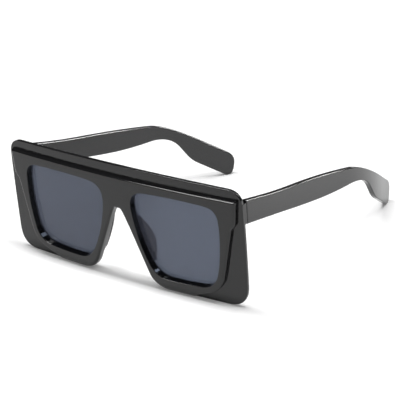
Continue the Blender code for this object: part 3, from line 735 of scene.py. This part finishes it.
def lens_glass():
    """Smoke-grey lens: a bluish tint, some light straight through, a soft gloss, and painted shade that makes
    it denser towards the wearer's right.
    """
    material = bpy.data.materials.new("smoke_lens")
    tree, shader = nodes_of(material)
    mottled(tree, shader, LENS_DARK, LENS_LIGHT, scale=25, detail=2)
    uneven(tree, shader, LENS_ROUGHNESS, scale=40, detail=3)
    shader.inputs["Specular IOR Level"].default_value = LENS_GLOSS
    through = tree.nodes.new("ShaderNodeBsdfTransparent")
    through.inputs["Color"].default_value = LENS_TINT
    where = tree.nodes.new("ShaderNodeTexCoord")
    split = tree.nodes.new("ShaderNodeSeparateXYZ")
    tree.links.new(where.outputs["Object"], split.inputs[0])
    # Painted shade: denser towards the wearer's right, for the shadowed table seen through that lens
    density_and_painted_shade = spread(tree, split.outputs["X"], LENS_PAINTED_SHADE_ACROSS, LENS_DENSITY_AND_PAINTED_SHADE)
    mix = tree.nodes.new("ShaderNodeMixShader")
    tree.links.new(density_and_painted_shade, mix.inputs["Fac"])
    tree.links.new(through.outputs[0], mix.inputs[1])
    tree.links.new(shader.outputs[0], mix.inputs[2])
    tree.links.new(mix.outputs[0], tree.nodes["Material Output"].inputs["Surface"])
    return material


def give(node, material):
    obj = frame["nodes"][node]
    obj.data.materials.clear()
    obj.data.materials.append(material)


def camera():
    back = Vector((
        math.sin(AZIMUTH) * math.cos(ELEVATION),
        -math.cos(AZIMUTH) * math.cos(ELEVATION),
        math.sin(ELEVATION),
    ))
    level = Vector((math.cos(AZIMUTH), math.sin(AZIMUTH), 0))
    up = back.cross(level)
    right = level * math.cos(ROLL) + up * math.sin(ROLL)
    top = up * math.cos(ROLL) - level * math.sin(ROLL)
    data = bpy.data.cameras.new("camera")
    data.sensor_width = SENSOR
    data.lens = DISTANCE / MM * PIXELS_PER_MM * SENSOR / PICTURE_PIXELS
    data.clip_start, data.clip_end = CLIP_START, CLIP_END
    obj = bpy.data.objects.new("camera", data)
    bpy.context.scene.collection.objects.link(obj)
    place = Matrix((right, top, back)).transposed().to_4x4()
    target = Vector((MIDDLE_X, BAND_Y + TARGET_BACK, TARGET_UP))
    place.translation = target + right * SHIFT_RIGHT + top * SHIFT_UP + back * DISTANCE
    obj.matrix_world = place
    bpy.context.scene.camera = obj


def area_light(name, lamp, aim):
    place, size, power = lamp
    data = bpy.data.lights.new(name, "AREA")
    data.shape = "RECTANGLE"
    data.size, data.size_y = size
    data.energy = power
    obj = bpy.data.objects.new(name, data)
    bpy.context.scene.collection.objects.link(obj)
    obj.location = place
    obj.rotation_mode = "QUATERNION"
    obj.rotation_quaternion = (Vector(place) - Vector(aim)).to_track_quat("Z", "Y")
    return obj


def lamps():
    for name, lamp in (("softbox", SOFTBOX), ("rear_softbox", REAR_SOFTBOX), ("edge_light", EDGE_LIGHT)):
        area_light(name, lamp, AIM).visible_diffuse = False
    area_light("top_light", TOP_LIGHT, TOP_AIM)


def table_white():
    """Matt white that glows a little, only as the camera and as reflections see it."""
    material = bpy.data.materials.new("white_table")
    tree, shader = nodes_of(material)
    shader.inputs["Base Color"].default_value = TABLE_COLOUR
    shader.inputs["Roughness"].default_value = TABLE_ROUGHNESS
    shader.inputs["Specular IOR Level"].default_value = 0
    shader.inputs["Emission Color"].default_value = WHITE
    path = tree.nodes.new("ShaderNodeLightPath")
    where = tree.nodes.new("ShaderNodeTexCoord")
    along = tree.nodes.new("ShaderNodeVectorMath")
    along.operation = "DOT_PRODUCT"
    along.inputs[1].default_value = MIRRORED_GLOW_WAY
    tree.links.new(where.outputs["Object"], along.inputs[0])
    # Painted reflection: only in reflections does the table glow brighter towards the far right, so the arms'
    # sides mirror more light
    places = (MIRRORED_GLOW_FROM, MIRRORED_GLOW_TO)
    mirrored_glow = spread(tree, along.outputs["Value"], places, (GLOW_LEAST, MIRRORED_GLOW_MOST))
    reflected = tree.nodes.new("ShaderNodeMath")
    reflected.operation = "MULTIPLY"
    tree.links.new(path.outputs["Is Glossy Ray"], reflected.inputs[0])
    tree.links.new(mirrored_glow, reflected.inputs[1])
    away = tree.nodes.new("ShaderNodeVectorMath")
    away.operation = "LENGTH"
    tree.links.new(where.outputs["Object"], away.inputs[0])
    distances = (SEEN_GLOW_FROM, SEEN_GLOW_TO)
    seen_glow = spread(tree, away.outputs["Value"], distances, (GLOW_LEAST, SEEN_GLOW_MOST))
    glow = tree.nodes.new("ShaderNodeMath")
    glow.operation = "MULTIPLY_ADD"
    tree.links.new(path.outputs["Is Camera Ray"], glow.inputs[0])
    tree.links.new(seen_glow, glow.inputs[1])
    tree.links.new(reflected.outputs[0], glow.inputs[2])
    tree.links.new(glow.outputs[0], shader.inputs["Emission Strength"])
    return material


def table():
    reach = TABLE_REACH
    corners = [(-reach, -reach, 0), (reach, -reach, 0), (reach, reach, 0), (-reach, reach, 0)]
    mesh = bpy.data.meshes.new("floor")
    mesh.from_pydata(corners, [], [(0, 1, 2, 3)])
    mesh.materials.append(table_white())
    floor = bpy.data.objects.new("floor", mesh)
    bpy.context.scene.collection.objects.link(floor)


def room():
    """A white backdrop for the camera, soft light from all round, and a dark room in reflections."""
    world = bpy.data.worlds.new("studio")
    bpy.context.scene.world = world
    world.use_nodes = True
    tree = world.node_tree
    tree.nodes.clear()
    out = tree.nodes.new("ShaderNodeOutputWorld")
    levels = []
    for strength in (BACKDROP_STRENGTH, ROOM_STRENGTH, MIRRORED_STRENGTH):
        level = tree.nodes.new("ShaderNodeBackground")
        level.inputs["Color"].default_value = WHITE
        level.inputs["Strength"].default_value = strength
        levels.append(level)
    seen, lit, mirrored_room = levels
    path = tree.nodes.new("ShaderNodeLightPath")
    indirect = tree.nodes.new("ShaderNodeMixShader")
    tree.links.new(path.outputs["Is Glossy Ray"], indirect.inputs["Fac"])
    tree.links.new(lit.outputs[0], indirect.inputs[1])
    tree.links.new(mirrored_room.outputs[0], indirect.inputs[2])
    mix = tree.nodes.new("ShaderNodeMixShader")
    tree.links.new(path.outputs["Is Camera Ray"], mix.inputs["Fac"])
    tree.links.new(indirect.outputs[0], mix.inputs[1])
    tree.links.new(seen.outputs[0], mix.inputs[2])
    tree.links.new(mix.outputs[0], out.inputs["Surface"])


def main():
    frame_black = plastic("frame_black", *FRAME_BLACK)
    arm_black = plastic("arm_black", *ARM_BLACK)
    pad_black = plastic("pad_black", *PAD_BLACK)
    smoke = lens_glass()
    steel = metal("hinge_steel", *HINGE_STEEL)
    bright = metal("screw_steel", *SCREW_STEEL)
    build_front(frame_black)
    for side, word in ((1, "left"), (-1, "right")):
        build_lens(word, side, smoke)
        build_pad(word, side, pad_black)
        build_arm(word, side, arm_black)
    for node in frame["nodes"]:
        if "rivet" in node or "screw" in node:
            give(node, bright)
        elif "hinge" in node:
            give(node, steel)
    table()
    room()
    lamps()
    camera()
    bpy.context.scene.view_settings.view_transform = "Standard"


main()
